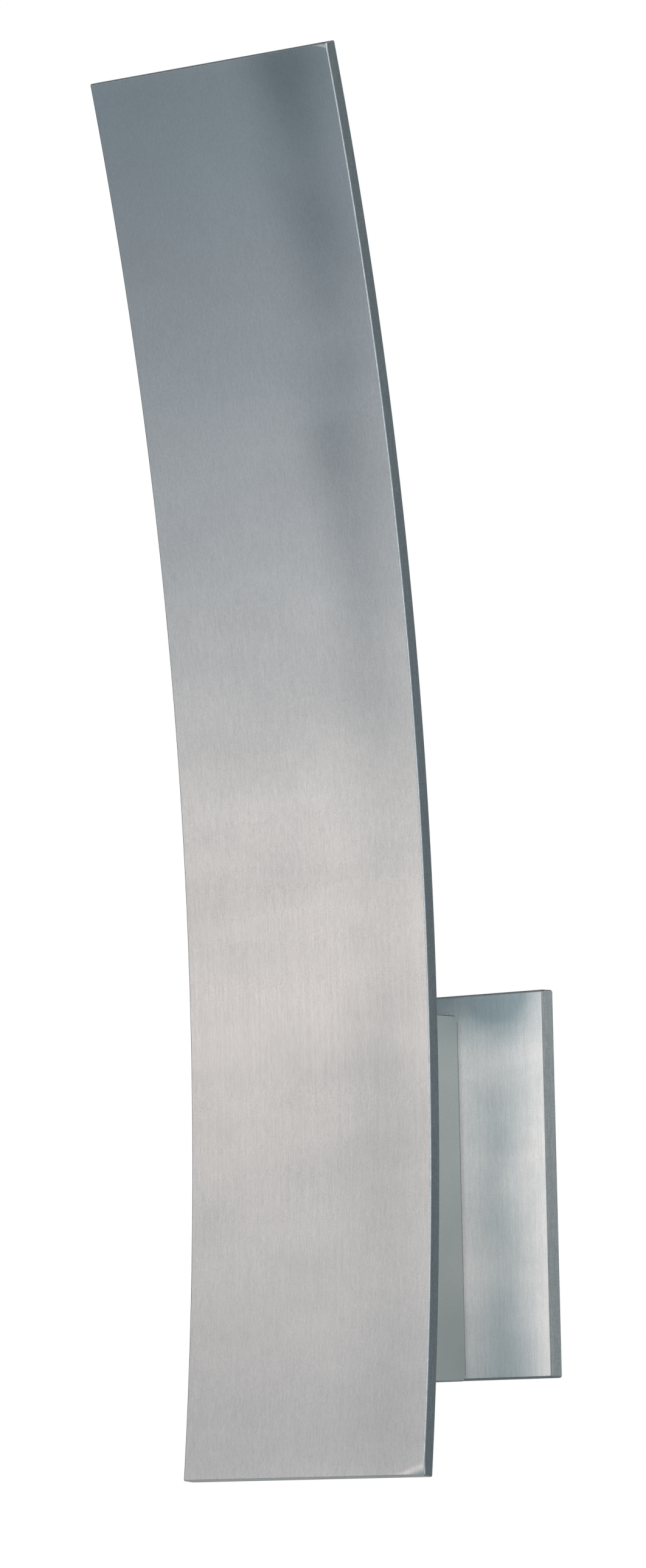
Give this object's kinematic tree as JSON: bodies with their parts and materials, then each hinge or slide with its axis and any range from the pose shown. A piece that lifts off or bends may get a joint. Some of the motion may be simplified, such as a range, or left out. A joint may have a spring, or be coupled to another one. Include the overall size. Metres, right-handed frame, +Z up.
{
  "type": "outdoor wall sconce",
  "caption": "Outdoor wall sconce: a tall curved brushed metal blade held off a back plate by a slim lamp housing that throws light up and down behind it.",
  "frame": {"origin": "middle of the back plate and of the box screws' pattern, on the wall plane", "axes": "+Z up along the blade, +Y into the wall, +X to the right seen from the room"},
  "size_m": [0.1342, 0.1418, 0.6116],
  "materials": {
    "blade_aluminium": "brushed along its length, clear coat",
    "plate_aluminium": "brushed upright, clear coat",
    "housing_silver": "fine matte silver powder coat",
    "bracket_steel": "zinc plated",
    "screw_steel": "stainless",
    "ground_green": "green dyed",
    "seal_foam": "closed cell foam",
    "grommet_rubber": "smooth moulded",
    "driver_case": "moulded, potted",
    "lens_glass": "clear tempered, fine frost inside",
    "bezel_black": "black anodised",
    "spreader_aluminium": "mill finish",
    "board_white": "white solder mask on metal core",
    "chip_phosphor": "yellow phosphor",
    "connector_plastic": "moulded",
    "cable_jacket": "silicone jacket"
  },
  "bodies": {
    "root": {"wall_bracket": "bracket_steel", "ground_screw": "ground_green", "back_plate": "plate_aluminium", "wall_seal": "seal_foam", "plate_grub_screws": "screw_steel", "wire_grommet": "grommet_rubber", "lamp_housing": "housing_silver", "housing_seal": "seal_foam", "housing_screws": "screw_steel", "blade": "blade_aluminium", "blade_studs": "screw_steel", "blade_washers": "screw_steel", "blade_nuts": "screw_steel", "led_driver": "driver_case", "driver_screws": "screw_steel", "lens_seal_up": "seal_foam", "lens_up": "lens_glass", "bezel_up": "bezel_black", "bezel_screws_up": "screw_steel", "heat_spreader_up": "spreader_aluminium", "spreader_screws_up": "screw_steel", "led_board_up": "board_white", "led_board_screws_up": "screw_steel", "led_chips_up": "chip_phosphor", "led_connector_up": "connector_plastic", "led_cable_up": "cable_jacket", "lens_seal_down": "seal_foam", "lens_down": "lens_glass", "bezel_down": "bezel_black", "bezel_screws_down": "screw_steel", "heat_spreader_down": "spreader_aluminium", "spreader_screws_down": "screw_steel", "led_board_down": "board_white", "led_board_screws_down": "screw_steel", "led_chips_down": "chip_phosphor", "led_connector_down": "connector_plastic", "led_cable_down": "cable_jacket"}
  },
  "joints": []
}
